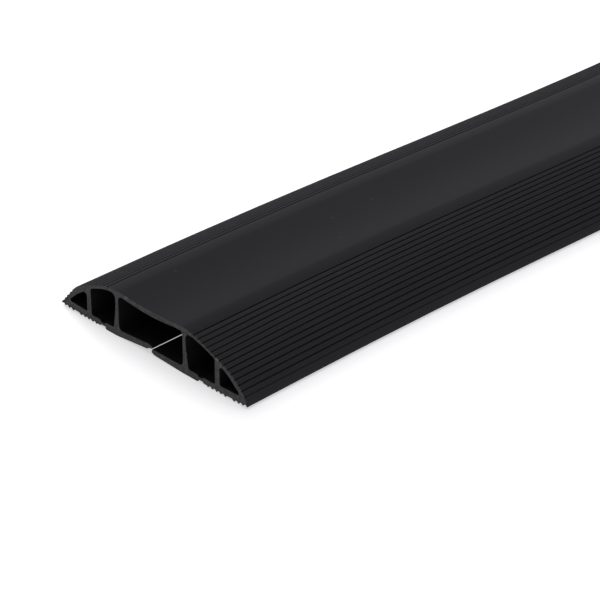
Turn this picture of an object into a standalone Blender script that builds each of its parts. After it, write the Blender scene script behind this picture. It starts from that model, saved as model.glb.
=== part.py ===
# Floor cord cover: one length of soft extruded trunking that lies over cables on a floor.
#
# The cover is a single extrusion, so the whole shape is in its cross-section.
# The section lies in the YZ plane and is swept along X, which is the length of the strip.
# Y runs across the strip and +Z is up. The origin is on the floor, under the middle of the strip.
#
# The section has a low arch with ribbed slopes and a smooth, slightly sunken walking band.
# Under it run five channels. The middle one holds the cables and opens downwards through a slit
# between two floor lips. The other four are closed and save material.

import math

import bpy
import numpy as np

MM = 0.001

# Overall size
LENGTH = 1000 * MM
WIDTH = 80 * MM
HEIGHT = 15 * MM
HALF = WIDTH / 2

# Arch: a flat-topped curve that steepens towards the thin, curled-up tips
CREST = 13.5 * MM  # half width of the walking band, measured between its crests
TIP_LIFT = 0.6 * MM
ARCH_START_POWER = 1.6  # how flat the slope leaves the crest
ARCH_END_POWER = 0.6  # how steeply it meets the tip
BAND_DISH = 0.65 * MM  # how far the middle of the band is sunk below its crests
DISH_POWER = 1.25
BAND_STEPS = 24

# Grooves along both slopes, spaced along the curve of the arch
GROOVE_COUNT = 14
GROOVE_FIRST = 5 * MM  # from the crest, along the curve
GROOVE_PITCH = 1.83 * MM
GROOVE_WIDTH = 0.6 * MM
GROOVE_FLOOR = 0.2 * MM
GROOVE_DEPTH = 0.4 * MM

# Feet: scalloped undersides, in one row of teeth at the tip and one further in
TOOTH_PITCH = 1.75 * MM
TOOTH_DEPTH = 0.65 * MM
INNER_TEETH = 5
INNER_TEETH_START = 24.1 * MM
OUTER_TEETH = 4  # the outermost cusp is the tip itself
OUTER_TEETH_START = HALF - (OUTER_TEETH - 1) * TOOTH_PITCH
SCALLOP_STEPS = 6
# The feet curl up off the floor beyond the last cusp of the inner row
CURL_START = INNER_TEETH_START + (INNER_TEETH - 1) * TOOTH_PITCH

# Walls
FLOOR = 2.25 * MM  # top of the floor plates inside the wide channels
BAND_ROOF = 1.55 * MM  # roof over the cable channel, half way across
CREST_ROOF = 1.35 * MM  # the same roof under the crests
SLOPE_ROOF = 1.15 * MM  # roof over the side channels, square to the slope
CORNER = 1.5 * MM
SMALL_CORNER = 1 * MM
TIGHT_CORNER = 0.6 * MM
CORNER_STEPS = 5
CEILING_MARGIN = 2.5 * MM  # the arched stretch of a ceiling ends this far from the webs

# Webs: the inner pair narrows upwards from a broad root, the outer pair is straight
CHANNEL_HALF = 13.8 * MM  # inner face of the inner webs
WEB_ROOT = 16 * MM  # outer face of the inner webs at their root
WEB_WAIST = 14.95 * MM  # the same face at its narrowest
WAIST_HEIGHT = 10.4 * MM
WEB_HEAD = 15.25 * MM  # the same face under the roof
OUTER_WEB_INSIDE = 26.6 * MM
OUTER_WEB_OUTSIDE = 28.45 * MM
DRIFT = 0.45 * MM  # the outer webs and tip channels are this far off towards -Y

# Small three-sided tip channels, as heights at the web and (y, z) of the other corners
TIP_CHANNEL_FLOOR = 2.65 * MM
TIP_CHANNEL_TOP = 9.5 * MM
TIP_CHANNEL_KNEE = (32.4 * MM, 7.1 * MM)  # where the roof bends with the arch
TIP_CHANNEL_END = (37.2 * MM, 2.95 * MM)
KNEE_RADIUS = 6 * MM

# Hinge line where each floor lip joins its foot: thinner from below and from inside
LIP_ROOT = 19.7 * MM
HINGE_END = 22.3 * MM
HINGE_HOLLOW = 0.8 * MM
HEEL = 0.4 * MM  # height of the foot between the hinge and its first cusp
HINGE_NOTCH = 0.6 * MM
NOTCH_CHAMFER = 0.5 * MM
HOLLOW_CHAMFER = 0.3 * MM

# Floor lips that meet at the slit. The +Y lip has lifted, as a soft lip does, and its nose lies higher.
SLIT = 0.18 * MM
SLIT_CENTRE = -0.83 * MM
LIFT_START = 15 * MM
LIFTED_NOSE = (2.5 * MM, 2.75 * MM)  # its blunt front, low and high edge
LIFTED_TOP = (1.65 * MM, 3.25 * MM)  # top of the lip behind the nose: distance from the slit, height
LIFTED_UNDER = (2.05 * MM, 1.35 * MM)  # underside of the lip behind the nose
RESTING_START = 13.5 * MM
RESTING_FRONT = (-0.07 * MM, 0.8 * MM)  # low edge of its front, a little ahead of the upper one
RESTING_CHIN = (0.6 * MM, 0.25 * MM)  # foot of the chamfer below that front

# Soft black plastic
COLOUR = (0.022, 0.022, 0.024, 1.0)
ROUGHNESS = 0.5


def crown(y):
    """Height of the outer skin at distance y from the middle, before the grooves.

    Past the crest it is lift + rise * (1 - t^1.6)^0.6, with t going from 0 at the crest to 1 at the tip.
    Between the crests it sinks by dish * (1 - u^2)^1.25, with u going from 0 in the middle to 1 at a crest.
    """
    y = np.abs(y)
    t = np.clip((y - CREST) / (HALF - CREST), 0.0, 1.0)
    u = np.clip(y / CREST, 0.0, 1.0)
    slope = TIP_LIFT + (HEIGHT - TIP_LIFT) * (1.0 - t**ARCH_START_POWER) ** ARCH_END_POWER
    return slope - BAND_DISH * (1.0 - u**2) ** DISH_POWER


def ribbed_slope(samples=4000):
    """Points from the crest down to the tip, on the +Y side, with the grooves cut into the curve."""
    u = np.linspace(0.0, 1.0, samples)
    y = HALF - (HALF - CREST) * (1.0 - u) ** 2
    z = crown(y)
    arc = np.concatenate([[0.0], np.cumsum(np.hypot(np.diff(y), np.diff(z)))])

    def at(s, sunk=0.0):
        ahead, behind = s + 0.01 * MM, s - 0.01 * MM
        dy = np.interp(ahead, arc, y) - np.interp(behind, arc, y)
        dz = np.interp(ahead, arc, z) - np.interp(behind, arc, z)
        run = math.hypot(dy, dz)
        # The inward normal is the tangent turned a quarter turn clockwise
        return (np.interp(s, arc, y) + sunk * dz / run, np.interp(s, arc, z) - sunk * dy / run)

    points = [at(s) for s in np.linspace(0.0, GROOVE_FIRST - GROOVE_PITCH, 4)]
    for k in range(GROOVE_COUNT):
        s = GROOVE_FIRST + k * GROOVE_PITCH
        points.append(at(s - GROOVE_PITCH / 2))
        points.append(at(s - GROOVE_WIDTH / 2))
        points.append(at(s - GROOVE_FLOOR / 2, GROOVE_DEPTH))
        points.append(at(s + GROOVE_FLOOR / 2, GROOVE_DEPTH))
        points.append(at(s + GROOVE_WIDTH / 2))
    points.append(at(s + GROOVE_PITCH / 2))
    points.append((HALF, TIP_LIFT))
    return points


def band():
    """The walking band from one crest to the other, without its end points."""
    ys = np.linspace(-CREST, CREST, BAND_STEPS + 1)[1:-1]
    return [(y, crown(y)) for y in ys]


def curl(y):
    """How far the foot has curled up off the floor at y: a parabola that reaches the tip's height."""
    return TIP_LIFT * max(0.0, (y - CURL_START) / (HALF - CURL_START)) ** 2


def teeth(start, count):
    """A row of scallops from its first cusp outwards: half sine waves that meet in sharp cusps."""
    phases = np.linspace(0.0, count - 1.0, (count - 1) * SCALLOP_STEPS + 1)
    return [(start + p * TOOTH_PITCH, TOOTH_DEPTH * abs(math.sin(math.pi * p))) for p in phases]


def foot_underside():
    """Underside on the +Y side, from the root of the floor lip out to the tip."""
    gap = TOOTH_PITCH / 2
    inner_end = INNER_TEETH_START + (INNER_TEETH - 1) * TOOTH_PITCH
    points = [
        (LIP_ROOT, 0.0),
        (LIP_ROOT + HOLLOW_CHAMFER, HINGE_HOLLOW),
        (HINGE_END - HOLLOW_CHAMFER, HINGE_HOLLOW),
        (HINGE_END, HEEL),
        (INNER_TEETH_START - gap / 2, HEEL),
        *teeth(INNER_TEETH_START, INNER_TEETH),
        (inner_end + gap, TOOTH_DEPTH),
        (OUTER_TEETH_START - gap, TOOTH_DEPTH),
        *teeth(OUTER_TEETH_START, OUTER_TEETH),
    ]
    # The last point is the tip, which the slope already has
    return [(y, z + curl(y)) for y, z in points[:-1]]


def rounded(corners):
    """A closed outline of (y, z, radius) corners, each turned into an arc tangent to both its sides."""
    points = []
    for k, (y, z, radius) in enumerate(corners):
        here = np.array([y, z])
        if radius == 0.0:
            points.append((y, z))
            continue
        before = np.array(corners[k - 1][:2]) - here
        after = np.array(corners[(k + 1) % len(corners)][:2]) - here
        before /= np.linalg.norm(before)
        after /= np.linalg.norm(after)
        half_angle = math.acos(np.clip(before @ after, -1.0, 1.0)) / 2
        reach = radius / math.tan(half_angle)
        middle = (before + after) / np.linalg.norm(before + after)
        centre = here + middle * radius / math.sin(half_angle)
        start, end = here + before * reach - centre, here + after * reach - centre
        sweep = math.atan2(start[0] * end[1] - start[1] * end[0], start @ end)
        for step in range(CORNER_STEPS + 1):
            a = sweep * step / CORNER_STEPS
            turned = np.array([
                start[0] * math.cos(a) - start[1] * math.sin(a),
                start[0] * math.sin(a) + start[1] * math.cos(a),
            ])
            points.append(tuple(centre + turned))
    return points


def under_slope(y):
    """Height of the underside of the ribbed roof, whose thickness is measured square to the slope."""
    rise = (crown(y + 0.01 * MM) - crown(y - 0.01 * MM)) / (0.02 * MM)
    return float(crown(y) - SLOPE_ROOF * math.hypot(1.0, rise))


def under_band(y):
    """Height of the underside of the walking band, whose roof thins by a cosine towards the crests."""
    middle = 0.5 * (1.0 + math.cos(math.pi * y / CREST))
    return float(crown(y)) - CREST_ROOF - (BAND_ROOF - CREST_ROOF) * middle


def side_channel(drift):
    """Outline of the wide closed channel on the +Y side, with the hinge notch in its floor."""
    outside = OUTER_WEB_INSIDE + drift
    ceiling = np.linspace(outside - CEILING_MARGIN, WEB_HEAD + CEILING_MARGIN, 4)
    return rounded([
        (WEB_HEAD, under_slope(WEB_HEAD + CORNER), CORNER),
        (WEB_WAIST, WAIST_HEIGHT, 0.0),
        (WEB_ROOT, FLOOR, SMALL_CORNER),
        (LIP_ROOT, FLOOR, 0.0),
        (LIP_ROOT + NOTCH_CHAMFER, FLOOR - HINGE_NOTCH, 0.0),
        (HINGE_END - NOTCH_CHAMFER, FLOOR - HINGE_NOTCH, 0.0),
        (HINGE_END, FLOOR, 0.0),
        (outside, FLOOR, TIGHT_CORNER),
        (outside, under_slope(outside), SMALL_CORNER),
        *[(y, under_slope(y), 0.0) for y in ceiling],
    ])


def tip_channel(drift):
    """Outline of the small three-sided channel on the +Y side."""
    inside = OUTER_WEB_OUTSIDE + drift
    end_y, end_z = TIP_CHANNEL_END
    knee_y, knee_z = TIP_CHANNEL_KNEE
    return rounded([
        (inside, TIP_CHANNEL_FLOOR, TIGHT_CORNER),
        (end_y + drift, end_z, TIGHT_CORNER),
        (knee_y + drift, knee_z, KNEE_RADIUS),
        (inside, TIP_CHANNEL_TOP, SMALL_CORNER),
    ])


def cable_channel():
    """Inside of the cable channel, from the nose of the +Y lip round to the nose of the -Y lip."""
    roof_end = CREST - CEILING_MARGIN
    roof_ys = np.linspace(roof_end, -roof_end, BAND_STEPS // 2 + 1)
    roof_edge = under_band(CHANNEL_HALF)
    lifted, resting = SLIT_CENTRE + SLIT / 2, SLIT_CENTRE - SLIT / 2
    nose_low, nose_high = LIFTED_NOSE
    top_distance, top_height = LIFTED_TOP
    return rounded([
        (lifted, nose_low, 0.0),
        (lifted, nose_high, 0.0),
        (lifted + top_distance, top_height, 0.0),
        (CHANNEL_HALF, FLOOR, CORNER),
        (CHANNEL_HALF, roof_edge, CORNER),
        *[(y, under_band(y), 0.0) for y in roof_ys],
        (-CHANNEL_HALF, roof_edge, CORNER),
        (-CHANNEL_HALF, FLOOR, CORNER),
        (resting, FLOOR, 0.0),
    ])


def mirrored(points):
    """The same outline on the -Y side."""
    return [(-y, z) for y, z in points]


def outer_outline():
    """The outside of the section as one loop, which runs through the slit and round the cable channel."""
    slope = ribbed_slope()
    foot = foot_underside()
    over = mirrored(slope)[::-1] + band() + slope
    lifted, resting = SLIT_CENTRE + SLIT / 2, SLIT_CENTRE - SLIT / 2
    under_distance, under_height = LIFTED_UNDER
    lifted_lip = [(LIFT_START, 0.0), (lifted + under_distance, under_height)]
    resting_lip = [(resting - distance, z) for distance, z in (RESTING_FRONT, RESTING_CHIN)]
    resting_lip.append((-RESTING_START, 0.0))
    return over + foot[::-1] + lifted_lip + cable_channel() + resting_lip + mirrored(foot)


def section_loops():
    """The outer loop, then the four closed channels."""
    plus_y = [side_channel(-DRIFT), tip_channel(-DRIFT)]
    minus_y = [side_channel(DRIFT), tip_channel(DRIFT)]
    return [outer_outline(), *plus_y, *[mirrored(loop) for loop in minus_y]]


def soft_plastic():
    """Satin black, as the soft plastic of the strip."""
    material = bpy.data.materials.new("soft_black_plastic")
    material.use_nodes = True
    shader = material.node_tree.nodes["Principled BSDF"]
    shader.inputs["Base Color"].default_value = COLOUR
    shader.inputs["Roughness"].default_value = ROUGHNESS
    shader.inputs["Metallic"].default_value = 0.0
    return material


def extrude_section(name, loops):
    """A flat curve of closed loops, filled and extruded. Loops inside the first one become channels."""
    curve = bpy.data.curves.new(name, "CURVE")
    curve.dimensions = "2D"
    curve.fill_mode = "BOTH"
    curve.extrude = LENGTH / 2
    for loop in loops:
        spline = curve.splines.new("POLY")
        spline.points.add(len(loop) - 1)
        spline.points.foreach_set("co", [c for y, z in loop for c in (y, z, 0.0, 1.0)])
        spline.use_cyclic_u = True
    strip = bpy.data.objects.new(name, curve)
    # Turns the curve's own X, Y and Z onto Y, Z and X
    strip.rotation_euler = (math.radians(90), 0.0, math.radians(90))
    bpy.context.scene.collection.objects.link(strip)
    return strip


def main():
    for old in list(bpy.data.objects):
        bpy.data.objects.remove(old, do_unlink=True)
    strip = extrude_section("cord_cover", section_loops())
    strip.data.materials.append(soft_plastic())


main()
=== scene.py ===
# %% [markdown]
# # A length of floor cord cover
#
# The object is one strip of soft black plastic that lies over cables on a floor. It was made by
# pushing the plastic through a shaped hole, so every slice across it looks the same. That is why
# this lesson draws the slice once, carries it along the strip, and then spends its time on finishes.
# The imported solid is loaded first. It fixes where the strip lies and how large it may be.

import bpy
import numpy as np
from mathutils import Matrix, Vector
from mathutils.geometry import tessellate_polygon


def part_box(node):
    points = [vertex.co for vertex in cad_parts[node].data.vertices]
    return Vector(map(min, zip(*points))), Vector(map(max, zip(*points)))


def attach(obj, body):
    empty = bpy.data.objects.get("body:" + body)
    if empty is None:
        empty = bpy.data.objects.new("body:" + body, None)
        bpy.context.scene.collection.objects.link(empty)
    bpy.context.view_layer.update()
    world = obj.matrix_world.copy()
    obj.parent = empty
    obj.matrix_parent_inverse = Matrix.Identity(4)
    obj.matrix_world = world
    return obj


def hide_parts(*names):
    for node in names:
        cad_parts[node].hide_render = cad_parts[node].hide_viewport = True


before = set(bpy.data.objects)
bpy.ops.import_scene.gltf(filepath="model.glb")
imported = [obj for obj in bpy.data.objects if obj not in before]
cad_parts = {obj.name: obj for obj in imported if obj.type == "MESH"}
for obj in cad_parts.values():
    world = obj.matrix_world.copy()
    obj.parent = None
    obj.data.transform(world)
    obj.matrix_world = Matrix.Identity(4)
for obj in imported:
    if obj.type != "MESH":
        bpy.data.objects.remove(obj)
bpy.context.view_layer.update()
low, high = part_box("cord_cover")
MM = 0.001
HALF_WIDTH = high.y
HEIGHT = high.z
print("strip", [round(size / MM, 1) for size in high - low], "mm")

# %% [markdown]
# ## The camera
#
# A product photo of a long thin thing is taken from above one end with a long lens, so that the cut
# face and the top both show. The camera is set by its place beside the near end, the direction it
# looks in, and its focal length. A matrix built from three unit vectors holds place and direction.

# %% Camera
FRAME_PIXELS = 600
FOCAL_PIXELS = 2219.1
SENSOR = 36.0
NEAREST_SEEN = 0.02
EYE_FROM_NEAR_END = Vector((-348.7 * MM, -415.0 * MM, 323.9 * MM))
HEADING, DOWNWARD, ROLL = np.radians([45.4967, 29.4871, 0.5039])


def look_matrix(eye, heading, downward, roll):
    """A camera's matrix. Heading turns from +X towards +Y, downward tips it to the floor, roll leans it."""
    ahead = Vector((
        np.cos(heading) * np.cos(downward), np.sin(heading) * np.cos(downward), -np.sin(downward)))
    level = Vector((np.sin(heading), -np.cos(heading), 0.0))
    above = level.cross(ahead)
    right = np.cos(roll) * level + np.sin(roll) * above
    up = -np.sin(roll) * level + np.cos(roll) * above
    turn = Matrix((right, up, -ahead)).transposed().to_4x4()
    return Matrix.Translation(eye) @ turn


camera = bpy.data.objects.new("camera", bpy.data.cameras.new("camera"))
camera.data.sensor_width = SENSOR
camera.data.lens = SENSOR * FOCAL_PIXELS / FRAME_PIXELS
camera.data.clip_start = NEAREST_SEEN
near_end = Vector((low.x, 0.0, 0.0))
camera.matrix_world = look_matrix(near_end + EYE_FROM_NEAR_END, HEADING, DOWNWARD, ROLL)
bpy.context.scene.collection.objects.link(camera)
bpy.context.scene.camera = camera
print("lens", round(camera.data.lens, 1), "mm")

# %% [markdown]
# ## The arch
#
# Seen from its end the strip is a low arch. The middle is a smooth walking band, sunk a little
# between two crests, and from each crest a slope runs down to a thin tip. One formula gives the
# height of both. A spline would do as well, but a formula can be asked for a height anywhere.

# %% Arch formula
CREST = 13.5 * MM
TIP_HEIGHT = 0.6 * MM
START_POWER, END_POWER = 1.6, 0.6
BAND_DISH, DISH_POWER = 0.65 * MM, 1.25
# Beyond the +Y crest the skin stands a little prouder than its mirror image: middle, half width, height
SHOULDER = (20 * MM, 7 * MM, 0.3 * MM)


def bump(y, middle, half, height):
    """A smooth rise shaped like cos^2, or a dip if the height is negative."""
    return height * np.cos(np.pi / 2 * np.clip((y - middle) / half, -1.0, 1.0)) ** 2


def arch(y):
    """Height of the skin at y.

    Down the slope it is tip + rise * (1 - t^1.6)^0.6, with t from 0 at the crest to 1 at the tip.
    Between the crests it sinks by dish * (1 - u^2)^1.25, with u from 0 in the middle to 1 at a crest.
    """
    t = np.clip((np.abs(y) - CREST) / (HALF_WIDTH - CREST), 0.0, 1.0)
    u = np.clip(np.abs(y) / CREST, 0.0, 1.0)
    slope = TIP_HEIGHT + (HEIGHT - TIP_HEIGHT) * (1.0 - t**START_POWER) ** END_POWER
    return slope - BAND_DISH * (1.0 - u**2) ** DISH_POWER + bump(y, *SHOULDER)


print("crest", round(arch(CREST) / MM, 2), "middle", round(arch(0.0) / MM, 2), "mm")

# %% [markdown]
# ## The ribs
#
# Lengthwise ribs keep a shoe from slipping on the slopes. Between two ribs lies a narrow groove
# with rounded lips, and lower down the slope each rib has a faint second crease, where the die was
# filed. On one side the last ribs are saw teeth. The grooves are evenly spaced along the curve, not
# across the floor, so the slope is first measured along its own length and the relief is pushed
# inwards along the normal.

# %% Ribbed slope
GROOVES = 14
GROOVE_FIRST = 5 * MM
GROOVE_PITCH = 1.83 * MM
GROOVE_REACH = 0.18 * MM
GROOVE_DEPTH = 0.38 * MM
LAST_GROOVE = 0.6
CREASE_DEPTH = 0.06 * MM
CREASE_REACH = 0.09 * MM
CREASE_PLACE = (0.62, 0.52)
CREASE_GROWS_OVER = 4
RIB_CROWN = 0.03 * MM
# On the +Y side the last ribs came out as saw teeth, each highest at this share of its width
SAW_AFTER, SAW_DEPTH, SAW_CREST = 9, 0.45 * MM, 0.6
STEPS_PER_RIB = 26
FINE_STEPS = 6000
# The plain skin above the first groove ends this share of a pitch before its middle
PLAIN_END, PLAIN_POINTS = 0.6, 13


def rib_relief(s, side):
    """Depth below the arch at arc length s from the crest, on side +1 or -1.

    Each pitch has a groove shaped like exp(-x^4). Each rib between two grooves has a shallow
    parabola, and a crease shaped like exp(-x^2) that deepens over the first few ribs. A saw tooth is
    two straight lines.
    """
    phase = (s - GROOVE_FIRST) / GROOVE_PITCH
    nearest = np.clip(np.round(phase), 0, GROOVES - 1)
    off = (phase - nearest) * GROOVE_PITCH
    share = np.where(nearest == GROOVES - 1, LAST_GROOVE, 1.0)
    groove = share * GROOVE_DEPTH * np.exp(-((off / GROOVE_REACH) ** 4))
    rib = np.clip(np.floor(phase), 0, GROOVES - 2)
    crease_at = rib + np.interp(rib, [0, GROOVES - 2], CREASE_PLACE)
    crease = CREASE_DEPTH * np.exp(-(((phase - crease_at) * GROOVE_PITCH / CREASE_REACH) ** 2))
    crease *= np.clip((rib + 1) / CREASE_GROWS_OVER, 0.0, 1.0)
    ribbed = (phase > 0) & (phase < GROOVES - 1)
    crowned = RIB_CROWN * (2.0 * (phase - np.floor(phase)) - 1.0) ** 2
    faded = RIB_CROWN * np.exp(-((off / GROOVE_PITCH) ** 2))
    within = phase - np.minimum(np.floor(phase), GROOVES - 1)
    back = np.where(phase < GROOVES - 1, (within - SAW_CREST) / (1.0 - SAW_CREST), 0.0)
    tooth = np.maximum(1.0 - within / SAW_CREST, back)
    saw = SAW_DEPTH * np.clip(phase - SAW_AFTER, 0.0, 1.0) * tooth * (side > 0)
    return groove + crease + np.where(ribbed, crowned, faded) + saw


def ribbed_slope(side):
    """(y, z, depth, zone) from crest to tip on side +1 or -1, with y counted outwards.

    Even steps of arc length are each moved inwards by the relief there. The zone is 0 above the
    bottom of the first groove, where the band ends, and 1 below it.
    """
    u = np.linspace(0.0, 1.0, FINE_STEPS)
    y = HALF_WIDTH - (HALF_WIDTH - CREST) * (1.0 - u) ** 2
    z = arch(side * y)
    arc = np.concatenate([[0.0], np.cumsum(np.hypot(np.diff(y), np.diff(z)))])
    plain = np.linspace(0.0, GROOVE_FIRST - PLAIN_END * GROOVE_PITCH, PLAIN_POINTS)
    count = int((arc[-1] - plain[-1]) / GROOVE_PITCH * STEPS_PER_RIB)
    s = np.concatenate([plain, np.linspace(plain[-1], arc[-1], count)[1:]])
    depth = rib_relief(s, side)
    depth[0] = depth[-1] = 0.0
    ys, zs = np.interp(s, arc, y), np.interp(s, arc, z)
    tangent = np.stack([np.gradient(ys, s), np.gradient(zs, s)])
    tangent /= np.linalg.norm(tangent, axis=0)
    zone = np.where(s < GROOVE_FIRST, 0.0, 1.0)
    return np.stack([ys + depth * tangent[1], zs - depth * tangent[0], depth, zone])


slopes = {side: ribbed_slope(side) for side in (1, -1)}
print(slopes[1].shape[1], "points down a slope of", GROOVES, "grooves")

# %% [markdown]
# ## The feet
#
# The undersides of the feet are scalloped so that they grip a floor. Sharp cusps touch it, and the
# plastic between them is hollowed. The absolute value of a sine wave is just that shape. Beyond the
# inner row the foot curls up off the floor, because soft plastic keeps the bend of its coil.

# %% Scalloped feet
TOOTH_PITCH = 1.75 * MM
TOOTH_DEPTH = 0.65 * MM
INNER_TEETH, INNER_TEETH_START = 5, 24.1 * MM
OUTER_TEETH = 4
OUTER_TEETH_START = HALF_WIDTH - (OUTER_TEETH - 1) * TOOTH_PITCH
CURL_START = INNER_TEETH_START + (INNER_TEETH - 1) * TOOTH_PITCH
SCALLOP_STEPS = 10
LIP_ROOT, HINGE_END = 19.7 * MM, 22.3 * MM
HINGE_HOLLOW, HOLLOW_CHAMFER = 0.8 * MM, 0.3 * MM
HEEL = 0.4 * MM


def teeth(start, count):
    """(y, z) of a row of scallops from its first cusp outwards: depth * |sin(pi * phase)|."""
    phase = np.linspace(0.0, count - 1.0, (count - 1) * SCALLOP_STEPS + 1)
    return np.stack([start + phase * TOOTH_PITCH, TOOTH_DEPTH * np.abs(np.sin(np.pi * phase))])


def foot_underside():
    """(y, z) from the root of the floor lip to just before the tip, lifted past the inner row."""
    hinge = np.array([
        (LIP_ROOT, 0.0),
        (LIP_ROOT + HOLLOW_CHAMFER, HINGE_HOLLOW),
        (HINGE_END - HOLLOW_CHAMFER, HINGE_HOLLOW),
        (HINGE_END, HEEL),
        (INNER_TEETH_START - TOOTH_PITCH / 4, HEEL),
    ]).T
    gap = np.array([
        (CURL_START + TOOTH_PITCH / 2, TOOTH_DEPTH), (OUTER_TEETH_START - TOOTH_PITCH / 2, TOOTH_DEPTH)]).T
    inner, outer = teeth(INNER_TEETH_START, INNER_TEETH), teeth(OUTER_TEETH_START, OUTER_TEETH)
    y, z = np.concatenate([hinge, inner, gap, outer[:, :-1]], axis=1)
    curl = np.clip((y - CURL_START) / (HALF_WIDTH - CURL_START), 0.0, 1.0)
    return np.stack([y, z + TIP_HEIGHT * curl**2])


foot = foot_underside()
print(foot.shape[1], "points under a foot")

# %% [markdown]
# ## The channels
#
# Five channels run through the strip. Their corners are rounded, because plastic does not leave a
# die with sharp inside corners. Each outline is a short list of corners with a radius each, and one
# function rounds them all at once with arrays.

# %% Rounded outlines
CHANNEL_FLOOR = 2.25 * MM
BAND_ROOF, CREST_ROOF, SLOPE_ROOF = 1.55 * MM, 1.35 * MM, 1.15 * MM
CORNER, SMALL, TIGHT, SHARP = 1.5 * MM, 1.0 * MM, 0.6 * MM, 0.001 * MM
CEILING_MARGIN = 2.5 * MM
CHANNEL_HALF = 13.8 * MM
WEB_ROOT, WEB_WAIST, WEB_HEAD = 16.0 * MM, 14.95 * MM, 15.25 * MM
WAIST_HEIGHT, WAIST_RADIUS = 10.4 * MM, 12 * MM
OUTER_WEB_INSIDE, OUTER_WEB_OUTSIDE = 26.6 * MM, 28.45 * MM
DRIFT = 0.45 * MM
HINGE_NOTCH, NOTCH_CHAMFER = 0.6 * MM, 0.5 * MM
TIP_FLOOR, TIP_TOP = 2.65 * MM, 9.5 * MM
TIP_KNEE, KNEE_RADIUS = (32.4 * MM, 7.1 * MM), 6 * MM
TIP_END = (37.2 * MM, 2.95 * MM)
ARC_STEPS, CEILING_POINTS = 7, 9
SAME_POINT, IN_LINE = 0.004 * MM, 1e-6
SMALL_STEP = 0.01 * MM


def rounded(corners):
    """(y, z) of a closed outline: every corner (y, z, radius) becomes an arc that touches both its sides."""
    point = np.array(corners)[:, :2]
    radius = np.array(corners)[:, 2]
    back = np.roll(point, 1, axis=0) - point
    on = np.roll(point, -1, axis=0) - point
    back /= np.linalg.norm(back, axis=1)[:, None]
    on /= np.linalg.norm(on, axis=1)[:, None]
    half = np.arccos(np.clip(np.sum(back * on, axis=1), -1.0, 1.0)) / 2
    middle = back + on
    flat = np.linalg.norm(middle, axis=1) < IN_LINE
    middle[flat] = np.stack([-on[flat, 1], on[flat, 0]], axis=1)
    middle /= np.linalg.norm(middle, axis=1)[:, None]
    centre = point + middle * (radius / np.sin(half))[:, None]
    start = point + back * (radius / np.tan(half))[:, None] - centre
    end = point + on * (radius / np.tan(half))[:, None] - centre
    sweep = np.arctan2(start[:, 0] * end[:, 1] - start[:, 1] * end[:, 0], np.sum(start * end, axis=1))
    a = sweep[:, None] * np.linspace(0.0, 1.0, ARC_STEPS)
    y = (centre[:, :1] + start[:, :1] * np.cos(a) - start[:, 1:] * np.sin(a)).ravel()
    z = (centre[:, 1:] + start[:, :1] * np.sin(a) + start[:, 1:] * np.cos(a)).ravel()
    apart = np.hypot(y - np.roll(y, 1), z - np.roll(z, 1)) > SAME_POINT
    return np.stack([y[apart], z[apart]])


def under_slope(y):
    """Underside of the ribbed roof: the arch less a thickness that is measured square to it."""
    rise = (arch(y + SMALL_STEP) - arch(y - SMALL_STEP)) / (2.0 * SMALL_STEP)
    return arch(y) - SLOPE_ROOF * np.hypot(1.0, rise)


def under_band(y):
    """Underside of the walking band: the arch less a roof that thins by a cosine towards the crests."""
    middle = 0.5 * (1.0 + np.cos(np.pi * y / CREST))
    return arch(y) - CREST_ROOF - (BAND_ROOF - CREST_ROOF) * middle


def side_channel(side):
    """The wide closed channel on side +1 or -1, with y counted outwards and a hinge notch in its floor."""
    outside = OUTER_WEB_INSIDE - side * DRIFT
    ceiling = np.linspace(outside - CEILING_MARGIN, WEB_HEAD + CEILING_MARGIN, CEILING_POINTS)
    return rounded([
        (WEB_HEAD, under_slope(side * (WEB_HEAD + CORNER)), CORNER),
        (WEB_WAIST, WAIST_HEIGHT, WAIST_RADIUS),
        (WEB_ROOT, CHANNEL_FLOOR, SMALL),
        (LIP_ROOT, CHANNEL_FLOOR, SHARP),
        (LIP_ROOT + NOTCH_CHAMFER, CHANNEL_FLOOR - HINGE_NOTCH, SHARP),
        (HINGE_END - NOTCH_CHAMFER, CHANNEL_FLOOR - HINGE_NOTCH, SHARP),
        (HINGE_END, CHANNEL_FLOOR, SHARP),
        (outside, CHANNEL_FLOOR, TIGHT),
        (outside, under_slope(side * outside), SMALL),
        *[(y, under_slope(side * y), SHARP) for y in ceiling],
    ])


def tip_channel(side):
    """The small three-sided channel on side +1 or -1, whose roof bends with the arch."""
    drift = -side * DRIFT
    inside = OUTER_WEB_OUTSIDE + drift
    return rounded([
        (inside, TIP_FLOOR, TIGHT),
        (TIP_END[0] + drift, TIP_END[1], TIGHT),
        (TIP_KNEE[0] + drift, TIP_KNEE[1], KNEE_RADIUS),
        (inside, TIP_TOP, SMALL),
    ])


def mirrored(outline):
    """The outline on the -Y side, turned round so that it still runs the same way."""
    return (outline * np.array([[-1.0], [1.0]]))[:, ::-1]


channels = [side_channel(1), tip_channel(1), mirrored(side_channel(-1)), mirrored(tip_channel(-1))]
print("points round the closed channels", [outline.shape[1] for outline in channels])

# %% [markdown]
# ## The cable channel and its lips
#
# Cables are pushed up into the middle channel through a slit between two floor lips. One lip lies
# flat. The other has lifted a little, as soft plastic does, which leaves the slit open to the light.
# The slit joins this channel to the outside, so in the slice it is part of the outer outline.

# %% Outer outline
LIFT_START, RESTING_START = (15 * MM, 0.0), (-13.5 * MM, 0.0)
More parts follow.
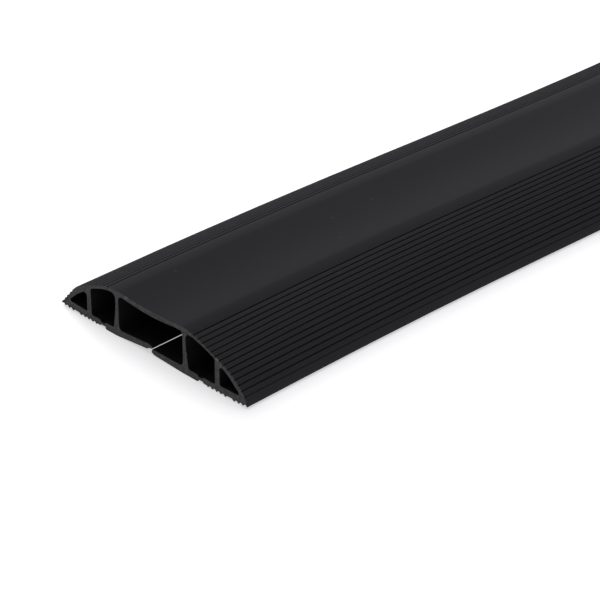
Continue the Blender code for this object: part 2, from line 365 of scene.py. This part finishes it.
# Corners of the noses, from the root of each lip: above and then below
LIFTED_ABOVE = [(0.95 * MM, 3.27 * MM, 0.3 * MM), (-0.8 * MM, 2.82 * MM, 0.1 * MM)]
LIFTED_BELOW = [
    (-0.62 * MM, 2.3 * MM), (-0.3 * MM, 2.12 * MM), (0.7 * MM, 1.95 * MM), (1.5 * MM, 1.4 * MM)]
RESTING_ABOVE = [(-0.69 * MM, 2.13 * MM, 0.05 * MM)]
RESTING_BELOW = [(-0.3 * MM, 1.06 * MM), (-0.75 * MM, 0.8 * MM), (-1.58 * MM, 0.5 * MM)]
ROOF_POINTS, BAND_POINTS = 49, 97


def cable_channel():
    """From the nose of the lifted lip round the roof to the nose of the resting one."""
    roof = np.linspace(CREST - CEILING_MARGIN, -CREST + CEILING_MARGIN, ROOF_POINTS)
    return rounded([
        (*LIFTED_BELOW[0], SHARP),
        *LIFTED_ABOVE[::-1],
        (CHANNEL_HALF, CHANNEL_FLOOR, CORNER),
        (CHANNEL_HALF, under_band(CHANNEL_HALF), CORNER),
        *[(y, under_band(y), SHARP) for y in roof],
        (-CHANNEL_HALF, under_band(CHANNEL_HALF), CORNER),
        (-CHANNEL_HALF, CHANNEL_FLOOR, CORNER),
        *RESTING_ABOVE,
        (*RESTING_BELOW[0], SHARP),
    ])


def with_zone(outline, zone):
    """(y, z, depth, zone) of an outline that has no relief."""
    rows = np.zeros((2, outline.shape[1]))
    rows[1] = zone
    return np.concatenate([outline, rows])


def outer_outline():
    """(y, z, depth, zone) counter-clockwise from the +Y tip.

    Zone 0 is the band, 1 the ribs and feet, 2 a channel's wall.
    """
    band_y = np.linspace(CREST, -CREST, BAND_POINTS)[1:-1]
    band = with_zone(np.stack([band_y, arch(band_y)]), 0.0)
    over = [slopes[1][:, ::-1], band, slopes[-1] * np.array([[-1.0], [1.0], [1.0], [1.0]])]
    resting = np.array([RESTING_START, *RESTING_BELOW[:0:-1]]).T
    lifted = np.array([*LIFTED_BELOW[1:], LIFT_START]).T
    # Below, the outline runs from the -Y tip to the slit, up and round the channel, and out to the +Y tip
    under = [mirrored(foot), resting, cable_channel()[:, ::-1], lifted, foot]
    zones = [1.0, 1.0, 2.0, 1.0, 1.0]
    return np.concatenate([*over, *[with_zone(part, zone) for part, zone in zip(under, zones)]], axis=1)


outer = outer_outline()
print(outer.shape[1], "points round the outside")

# %% [markdown]
# ## Carrying the slice along the strip
#
# All outlines are put at many stations along X, and neighbours are joined with quads. The two ends
# are filled with triangles, holes left open, which gives one closed body. The stations stand close
# together at the near end, where the cut has left the soft plastic pressed a little out of shape. The
# strip also keeps a faint wave from side to side, as stock does that has lain in a coil.

# %% Sweep
PRESSED_LENGTH = 35 * MM
# Where the skin is pressed down at the cut: middle, half width, height, which is negative
PRESSED = [(-26 * MM, 9 * MM, -0.5 * MM), (38 * MM, 6 * MM, -1.15 * MM)]
# No deeper than this share of the skin's height above the tip
PRESSED_AT_MOST = 0.4
SKIN_POWER = 12
WAVE_HEIGHT, WAVES = 1.0 * MM, 3.5
NEAR_STATIONS, FAR_STATIONS = 9, 38
FAR_START = 50 * MM


def signed_area(outline):
    """Shoelace area: positive if the outline runs counter-clockwise."""
    y, z = outline[:2]
    return 0.5 * np.sum(y * np.roll(z, -1) - z * np.roll(y, -1))


def facing(outline, outwards):
    """The outline turned to run counter-clockwise if it faces outwards, clockwise round a hole."""
    return outline if (signed_area(outline) > 0) == outwards else outline[:, ::-1]


holes = [facing(with_zone(outline, 2.0), False) for outline in channels]
loops = [facing(outer, True), *holes]
section = np.concatenate(loops, axis=1)
starts = np.cumsum([0] + [loop.shape[1] for loop in loops])
following = np.concatenate([
    np.roll(np.arange(first, last), -1) for first, last in zip(starts[:-1], starts[1:])
])


def sweep_vertices():
    """Every section point at every station, as one (stations * points, 3) array.

    Near the cut the skin dips with its ribs, and what lies below it follows by
    (height / height of the skin)^12. The dip fades along the strip like cos^2. The wave is
    height * sin(2 * pi * waves * share of the length).
    """
    along = stations[:, None]
    length = high.x - low.x
    y, z, relief = section[:3]
    deepest = PRESSED_AT_MOST * (arch(y) - TIP_HEIGHT)
    dip = np.maximum(sum(bump(y, *place) for place in PRESSED), -deepest)
    dip *= np.where(relief > 0.0, 1.0, np.clip(z / arch(y), 0.0, 1.0) ** SKIN_POWER)
    grid = np.empty((len(stations), len(y), 3))
    grid[..., 0] = low.x + along
    grid[..., 1] = y + WAVE_HEIGHT * np.sin(2.0 * np.pi * WAVES * along / length)
    grid[..., 2] = z + dip * bump(along, 0.0, PRESSED_LENGTH, 1.0)
    return grid.reshape(-1, 3)


def sweep_quads():
    """Quads between neighbouring stations, wound so that they face out of the plastic."""
    points = section.shape[1]
    base = np.arange(len(stations) - 1)[:, None] * points
    here = base + np.arange(points)
    there = base + following
    return np.stack([here, there, there + points, here + points], axis=-1).reshape(-1, 4)


def cap_triangles():
    """Triangles that fill the slice between the outer outline and the holes, wound counter-clockwise."""
    flat = [[Vector((y, z, 0.0)) for y, z in loop[:2].T] for loop in loops]
    triangles = np.array(tessellate_polygon(flat))
    p = section[:2].T[triangles]
    ab, ac = p[:, 1] - p[:, 0], p[:, 2] - p[:, 0]
    clockwise = ab[:, 0] * ac[:, 1] - ab[:, 1] * ac[:, 0] < 0
    triangles[clockwise] = triangles[clockwise][:, ::-1]
    return triangles


stations = np.concatenate([
    np.linspace(0.0, FAR_START, NEAR_STATIONS)[:-1],
    np.linspace(FAR_START, high.x - low.x, FAR_STATIONS),
])
vertices = sweep_vertices()
quads = sweep_quads()
cap = cap_triangles()
print(len(vertices), "vertices,", len(quads), "quads,", len(cap), "triangles in each cut face")

# %% [markdown]
# ## One mesh with four finishes
#
# The strip is one piece, so it stays one mesh. Each face carries the number of its finish: smooth
# band, ribs and feet, channel wall or fresh cut. A point attribute keeps how deep each point lies in
# a groove, so that the ribs' material can paint shade into the grooves.

# %% Build the mesh
CUT = 3
SHARP_FROM = np.radians(42)


def build_strip():
    """Puts the arrays into one mesh: near cap facing -X, far cap facing +X, quads between."""
    near = cap[:, ::-1]
    far = cap + (len(stations) - 1) * section.shape[1]
    mesh = bpy.data.meshes.new("ribbed_cover")
    mesh.from_pydata(vertices, [], [*quads.tolist(), *near.tolist(), *far.tolist()])
    zone = np.tile(np.minimum(section[3], section[3][following]), len(stations) - 1)
    finish = np.concatenate([zone, np.full(2 * len(cap), CUT)])
    mesh.polygons.foreach_set("material_index", finish.astype(np.int32))
    # How deep each point lies in a groove, which the ribs' material turns into painted shade
    depth = mesh.attributes.new("groove", "FLOAT", "POINT")
    share = np.tile(section[2] / GROOVE_DEPTH, len(stations))
    depth.data.foreach_set("value", share.astype(np.float32))
    mesh.shade_smooth()
    mesh.set_sharp_from_angle(angle=SHARP_FROM)
    piece = bpy.data.objects.new("ribbed_cover", mesh)
    bpy.context.scene.collection.objects.link(piece)
    return piece


cover = build_strip()
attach(cover, "root")
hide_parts("cord_cover")
print("faces", len(cover.data.polygons))

# %% [markdown]
# ## Finishes
#
# A small helper keeps the node code readable: it adds a node, sets its values and links its inputs.
# The others do what the finishes share. They carry one range to another, draw noise out in one
# direction, and set how glossy a finish is.

# %% Node helpers


def add(tree, kind, inputs=None, **settings):
    """A new node of that kind. Inputs are values or other nodes' sockets, by name or number."""
    node = tree.nodes.new("ShaderNode" + kind)
    for name, value in settings.items():
        setattr(node, name, value)
    for key, value in (inputs or {}).items():
        if isinstance(value, bpy.types.NodeSocket):
            tree.links.new(value, node.inputs[key])
        else:
            node.inputs[key].default_value = value
    return node


def new_material(name):
    """A material with nodes, its Principled shader, and the Object coordinates that its patterns read."""
    material = bpy.data.materials.new(name)
    material.use_nodes = True
    tree = material.node_tree
    place = add(tree, "TexCoord").outputs["Object"]
    return material, tree, tree.nodes["Principled BSDF"], place


def grey(value, blue=1.1):
    """A dark neutral with the slight blue of carbon black."""
    return (value, value, value * blue, 1.0)


def carried(tree, value, start, end):
    """The value carried in a straight line from the range start to the range end, and kept in it."""
    return add(tree, "MapRange", {
        "Value": value, "From Min": start[0], "From Max": start[1],
        "To Min": end[0], "To Max": end[1]}).outputs[0]


def drawn_noise(tree, place, scales, detail):
    """Noise with one scale for each axis. It is drawn out where the scale is small."""
    stretched = add(tree, "Mapping", {"Vector": place, "Scale": scales}).outputs[0]
    return add(tree, "TexNoise", {"Vector": stretched, "Scale": 1.0, "Detail": detail}).outputs[0]


def set_gloss(shader, roughness, specular):
    """How blurred the finish's reflections are, and how strong."""
    shader.inputs["Roughness"].default_value = roughness
    shader.inputs["Specular IOR Level"].default_value = specular


print("helpers ready")

# %% [markdown]
# ## Moulded skin
#
# The band is satin, because the die and many feet have smoothed it, and the ribs are matt. The
# plastic is the same, so one function makes both materials with other numbers. Noise drawn out along
# the strip gives the faint lines that a die leaves. In the grooves shade is painted into the colour,
# which is made darker because little light finds its way out of them. A few specks of dust lie on the
# skin: a cell pattern has a random point in each cell, and the rare cells of a chosen tint show theirs.

# %% Skin
DIE_LINES, DIE_LINE_DETAIL = (4.0, 500.0, 500.0), 3.0
GRAIN, GRAIN_DETAIL = 3500.0, 2.0
TONE_RANGE = (0.9, 1.1)
# The groove attribute, as a share of a groove's depth, paints shade into the colour over this range
SHADED_DEPTHS = (0.3, 1.0)
SKIN_BUMP, SKIN_BUMP_HEIGHT = 0.15, 0.05 * MM
DUST_CELLS, DUST_TONE, DUST_SHARE = 400.0, 0.1, 0.025
DUST_REACH = (0.04, 0.15)


def dust(tree, place):
    """1 on a speck of dust and 0 elsewhere."""
    cells = add(tree, "TexVoronoi", {"Vector": place, "Scale": DUST_CELLS})
    near = carried(tree, cells.outputs["Distance"], DUST_REACH, (1.0, 0.0))
    tint = add(tree, "SeparateXYZ", {0: cells.outputs["Color"]}).outputs["X"]
    chosen = add(tree, "Math", {0: tint, 1: DUST_SHARE}, operation="LESS_THAN").outputs[0]
    return add(tree, "Math", {0: near, 1: chosen}, operation="MULTIPLY").outputs[0]


def skin_material(name, tone, roughness, specular, groove_shade_tone):
    """Skin of one tone and gloss, with die lines and dust.

    Painted shade: in the bottom of a groove the tone falls to the share groove_shade_tone.
    """
    material, tree, shader, place = new_material(name)
    die_lines = drawn_noise(tree, place, DIE_LINES, DIE_LINE_DETAIL)
    grain = add(tree, "TexNoise", {"Vector": place, "Scale": GRAIN, "Detail": GRAIN_DETAIL}).outputs[0]
    lines = carried(tree, die_lines, (0.0, 1.0), TONE_RANGE)
    # Painted shade: the deeper in a groove, the darker the colour
    depth = add(tree, "Attribute", attribute_name="groove").outputs["Fac"]
    painted_groove_shade = carried(tree, depth, SHADED_DEPTHS, (1.0, groove_shade_tone))
    share = add(tree, "Math", {0: lines, 1: painted_groove_shade}, operation="MULTIPLY").outputs[0]
    colour = add(tree, "VectorMath", {0: grey(tone)[:3], "Scale": share}, operation="SCALE").outputs[0]
    dusty = add(tree, "MixRGB", {"Fac": dust(tree, place), "Color1": colour, "Color2": grey(DUST_TONE)})
    tree.links.new(dusty.outputs[0], shader.inputs["Base Color"])
    height = add(tree, "Math", {0: die_lines, 1: grain}, operation="ADD").outputs[0]
    relief = add(tree, "Bump", {"Height": height, "Strength": SKIN_BUMP, "Distance": SKIN_BUMP_HEIGHT})
    tree.links.new(relief.outputs[0], shader.inputs["Normal"])
    set_gloss(shader, roughness, specular)
    return material


band_skin = skin_material("satin_band", tone=0.006, roughness=0.28, specular=0.5, groove_shade_tone=1.0)
rib_skin = skin_material("matt_ribs", tone=0.02, roughness=0.6, specular=0.4, groove_shade_tone=0.3)
print("skins", band_skin.name, rib_skin.name)

# %% [markdown]
# ## Channel walls and fresh cuts
#
# Inside the channels the plastic is bare and dark. Where the strip was cut to length, the knife has
# torn the surface slightly, so the cut is paler and dull, with fine scratches across it. Two painted
# highlights, glints on burrs on its upper edge, are pale patches that fade away from their places.

# %% Wall and cut
# Each painted highlight's y and z, and how far it reaches
PAINTED_GLINTS = [(9.9 * MM, 14.7 * MM, 0.6 * MM), (-28.3 * MM, 10.9 * MM, 1.1 * MM)]
GLINT_TONE = grey(0.2, 1.0)
WALL_LINES, WALL_LINE_DETAIL = (6.0, 700.0, 700.0), 2.0
WALL_TONES = (grey(0.008), grey(0.014))
SCRATCHES, SCRATCH_DETAIL = (900.0, 500.0, 2500.0), 4.0
MOTTLE, MOTTLE_DETAIL = 900.0, 3.0
# Where the product of the two noises begins and ends its change from the dark tone to the pale one
TORN_RANGE = (0.15, 0.38)
CUT_TONES = (grey(0.047, 1.0), grey(0.083, 1.0))
TORN_BUMP, TORN_BUMP_HEIGHT = 0.5, 0.1 * MM


def wall_material():
    """Bare dark plastic with faint drawn lines, which hardly shines."""
    material, tree, shader, place = new_material("channel_wall")
    lines = drawn_noise(tree, place, WALL_LINES, WALL_LINE_DETAIL)
    tone = add(tree, "MixRGB", {"Fac": lines, "Color1": WALL_TONES[0], "Color2": WALL_TONES[1]})
    tree.links.new(tone.outputs[0], shader.inputs["Base Color"])
    set_gloss(shader, roughness=0.7, specular=0.1)
    return material


def cut_material():
    """Torn plastic: scratches times mottle sets both the tone and the bump, and painted highlights lie over
    it.
    """
    material, tree, shader, place = new_material("fresh_cut")
    scratches = drawn_noise(tree, place, SCRATCHES, SCRATCH_DETAIL)
    mottle = add(tree, "TexNoise", {"Vector": place, "Scale": MOTTLE, "Detail": MOTTLE_DETAIL}).outputs[0]
    mixed = add(tree, "Math", {0: scratches, 1: mottle}, operation="MULTIPLY").outputs[0]
    share = carried(tree, mixed, TORN_RANGE, (0.0, 1.0))
    tone = add(tree, "MixRGB", {"Fac": share, "Color1": CUT_TONES[0], "Color2": CUT_TONES[1]})
    colour = tone.outputs[0]
    # Painted highlights: pale patches that stand for glints on the cut's upper edge
    for y, z, reach in PAINTED_GLINTS:
        away = add(tree, "VectorMath", {0: place, 1: (low.x, y, z)}, operation="DISTANCE").outputs["Value"]
        near = carried(tree, away, (0.0, reach), (1.0, 0.0))
        glint = add(tree, "MixRGB", {"Fac": near, "Color1": colour, "Color2": GLINT_TONE})
        colour = glint.outputs[0]
    tree.links.new(colour, shader.inputs["Base Color"])
    torn = add(tree, "Bump", {"Height": mixed, "Strength": TORN_BUMP, "Distance": TORN_BUMP_HEIGHT})
    tree.links.new(torn.outputs[0], shader.inputs["Normal"])
    set_gloss(shader, roughness=0.85, specular=0.15)
    return material


# In the order of the faces' finish numbers
for finish in (band_skin, rib_skin, wall_material(), cut_material()):
    cover.data.materials.append(finish)
print("finishes", [m.name for m in cover.data.materials])

# %% [markdown]
# ## Floor and light
#
# The floor is plain and nearly white. It glows a little by itself, so that it stays pale right under
# the strip and shows through the slit, while its own shading still takes a soft shadow. One large
# lamp hangs over the cut end. The other stands behind the strip and throws its shadow to the front.

# %% Floor and light
FLOOR_HALF = 15.0
FLOOR_GAP = 0.02 * MM
FLOOR_TONE, FLOOR_GLOW = 0.8, 0.54
# Place from the near end, size and power of each lamp
TOP_LIGHT = ((0.2, 0.6, 1.6), 1.5, 10.0)
BACK_LIGHT = ((0.5, 1.3, 0.7), 0.9, 15.0)
SKY_COLOUR, SKY_STRENGTH = (1.0, 1.0, 1.08, 1.0), 0.25


def floor_plane():
    """A pale square just under the strip, which glows but isn't seen in the strip's own gloss."""
    signs = ((-1, -1), (1, -1), (1, 1), (-1, 1))
    corners = [(x * FLOOR_HALF, y * FLOOR_HALF, low.z - FLOOR_GAP) for x, y in signs]
    mesh = bpy.data.meshes.new("floor")
    mesh.from_pydata(corners, [], [(0, 1, 2, 3)])
    plane = bpy.data.objects.new("floor", mesh)
    bpy.context.scene.collection.objects.link(plane)
    material, _, shader, _ = new_material("pale_floor")
    shader.inputs["Base Color"].default_value = grey(FLOOR_TONE, 1.0)
    set_gloss(shader, roughness=0.9, specular=0.0)
    shader.inputs["Emission Color"].default_value = (1.0, 1.0, 1.0, 1.0)
    shader.inputs["Emission Strength"].default_value = FLOOR_GLOW
    mesh.materials.append(material)
    plane.visible_glossy = False


def soft_light(name, away, size, power):
    """A square area light that stands away from the near end and faces it."""
    light = bpy.data.lights.new(name, "AREA")
    light.size = size
    light.energy = power
    lamp = bpy.data.objects.new(name, light)
    lamp.location = near_end + Vector(away)
    lamp.rotation_euler = (-Vector(away)).to_track_quat("-Z", "Y").to_euler()
    lamp.visible_glossy = False
    bpy.context.scene.collection.objects.link(lamp)


floor_plane()
soft_light("top_light", *TOP_LIGHT)
soft_light("back_light", *BACK_LIGHT)
world = bpy.data.worlds.new("studio")
world.use_nodes = True
world.node_tree.nodes["Background"].inputs["Color"].default_value = SKY_COLOUR
world.node_tree.nodes["Background"].inputs["Strength"].default_value = SKY_STRENGTH
bpy.context.scene.world = world
bpy.context.scene.view_settings.view_transform = "Standard"
print("stage ready")
